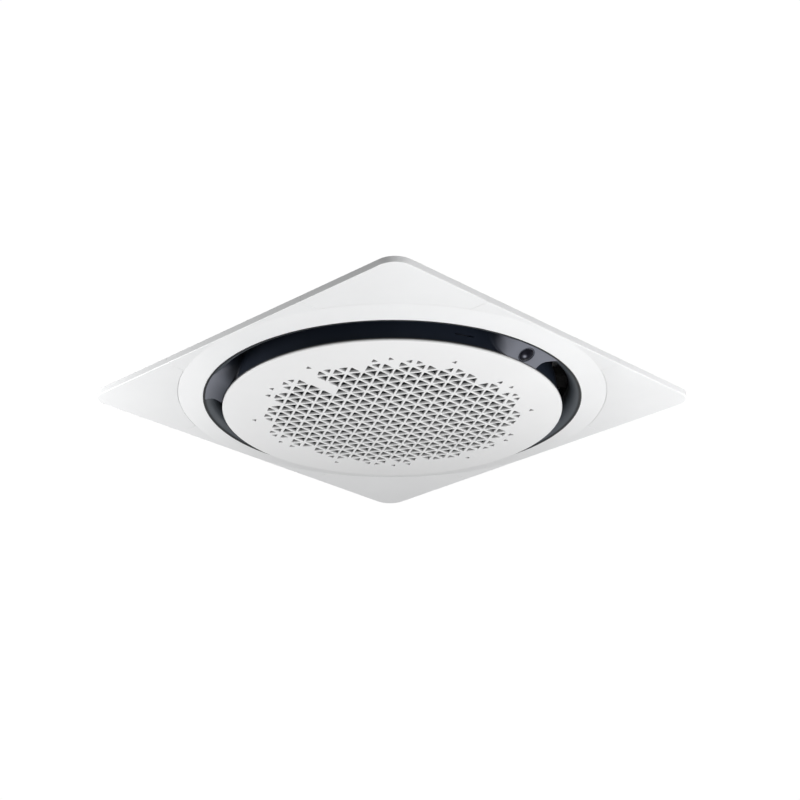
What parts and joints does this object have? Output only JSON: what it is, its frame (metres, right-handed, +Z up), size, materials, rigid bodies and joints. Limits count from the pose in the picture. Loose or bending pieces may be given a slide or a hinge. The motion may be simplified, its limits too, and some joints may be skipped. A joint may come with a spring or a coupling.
{
  "type": "ceiling cassette air conditioner",
  "caption": "Ceiling cassette air conditioner with a square panel, a round perforated intake disc and a ring-shaped outlet round it.",
  "frame": {"origin": "centre of the four hanger slots, at mid thickness of their lugs; the ceiling's lower surface is 120 mm below", "axes": "+Z up into the ceiling void, -Z towards the room; pipes leave at -X, the grille's hinge is at +Y and its latches at -Y"},
  "size_m": [1, 1, 0.3465],
  "materials": {
    "panel_white": "satin moulded plastic",
    "outlet_dark": "matt dark blue-grey moulded plastic",
    "bridge_grey": "fine textured slate grey plastic",
    "lens_black": "polished dark lens",
    "filter_grey": "moulded",
    "filter_net": "fine woven net",
    "galvanised": "galvanised sheet steel",
    "bracket_steel": "zinc plated",
    "foam_white": "expanded polystyrene",
    "seal_foam": "closed cell foam",
    "fan_plastic": "moulded",
    "motor_metal": "painted",
    "screw_steel": "zinc plated",
    "rubber_black": "moulded",
    "fin_aluminium": "coated fins",
    "copper": "drawn copper tube",
    "brass": "machined",
    "pan_grey": "moulded",
    "board_green": "circuit board",
    "pipe_white": "moulded"
  },
  "bodies": {
    "root": {"bell_mouth": "fan_plastic", "booster_housings": "fan_plastic", "booster_motor_1": "motor_metal", "booster_motor_2": "motor_metal", "booster_motor_3": "motor_metal", "bridge_1": "bridge_grey", "bridge_2": "bridge_grey", "bridge_3": "bridge_grey", "cable_gland": "rubber_black", "casing_lid": "galvanised", "casing_walls": "galvanised", "circuit_board": "board_green", "coil_end_plates": "galvanised", "coil_fins": "fin_aluminium", "coil_tubes": "copper", "control_box": "galvanised", "control_cover": "galvanised", "core_ring": "outlet_dark", "corner_cover_left_back": "panel_white", "corner_cover_left_front": "panel_white", "corner_cover_right_back": "panel_white", "corner_cover_right_front": "panel_white", "drain_pan": "pan_grey", "drain_spigot": "pipe_white", "fan_motor": "motor_metal", "flare_nuts": "brass", "float_stem": "pipe_white", "gas_pipe": "copper", "hanger_bracket_1": "bracket_steel", "hanger_bracket_2": "bracket_steel", "hanger_bracket_3": "bracket_steel", "hanger_bracket_4": "bracket_steel", "insulation_liner": "foam_white", "intake_seal": "seal_foam", "liquid_pipe": "copper", "motor_rubbers": "rubber_black", "motor_screws": "screw_steel", "outlet_ring": "outlet_dark", "outlet_seal": "seal_foam", "panel_frame": "panel_white", "panel_screws": "screw_steel", "pipe_plate": "galvanised", "pump_body": "pipe_white", "sensor_board": "board_green", "sensor_lens": "lens_black", "terminal_block": "fan_plastic"},
    "fan": {"turbo_fan": "fan_plastic", "motor_shaft": "screw_steel", "fan_nut": "screw_steel"},
    "booster_1": {"booster_impeller_1": "fan_plastic"},
    "booster_2": {"booster_impeller_2": "fan_plastic"},
    "booster_3": {"booster_impeller_3": "fan_plastic"},
    "grille": {"intake_grille": "panel_white", "filter_frame": "filter_grey", "filter_mesh": "filter_net", "hinge_pins": "screw_steel"},
    "latch_left": {"grille_latch_left": "panel_white"},
    "latch_right": {"grille_latch_right": "panel_white"},
    "pump_wheel": {"pump_impeller": "pipe_white"},
    "float": {"float_ring": "pipe_white"}
  },
  "joints": [
    {"name": "fan_spin", "type": "hinge", "parent": "root", "child": "fan", "pos_m": [0, 0, 0.07], "axis": [0, 0, 1], "continuous": true},
    {"name": "booster_spin_1", "type": "hinge", "parent": "root", "child": "booster_1", "pos_m": [0.3303, -0.13011, -0.12], "axis": [0, 0, 1], "continuous": true},
    {"name": "booster_spin_2", "type": "hinge", "parent": "root", "child": "booster_2", "pos_m": [-0.05247, 0.3511, -0.12], "axis": [0, 0, 1], "continuous": true},
    {"name": "booster_spin_3", "type": "hinge", "parent": "root", "child": "booster_3", "pos_m": [-0.27783, -0.22099, -0.12], "axis": [0, 0, 1], "continuous": true},
    {"name": "grille_swing", "type": "hinge", "parent": "root", "child": "grille", "pos_m": [0, 0.393, -0.158], "axis": [1, 0, 0], "range_deg": [0, 80]},
    {"name": "latch_slide_left", "type": "slide", "parent": "grille", "child": "latch_left", "axis": [0, 1, 0], "range_m": [0, 0.009], "stiffness_N_per_m": 150},
    {"name": "latch_slide_right", "type": "slide", "parent": "grille", "child": "latch_right", "axis": [0, 1, 0], "range_m": [0, 0.009], "stiffness_N_per_m": 150},
    {"name": "pump_spin", "type": "hinge", "parent": "root", "child": "pump_wheel", "pos_m": [-0.362, 0.322, -0.02], "axis": [0, 0, 1], "continuous": true},
    {"name": "float_slide", "type": "slide", "parent": "root", "child": "float", "axis": [0, 0, 1], "range_m": [0, 0.012]}
  ]
}
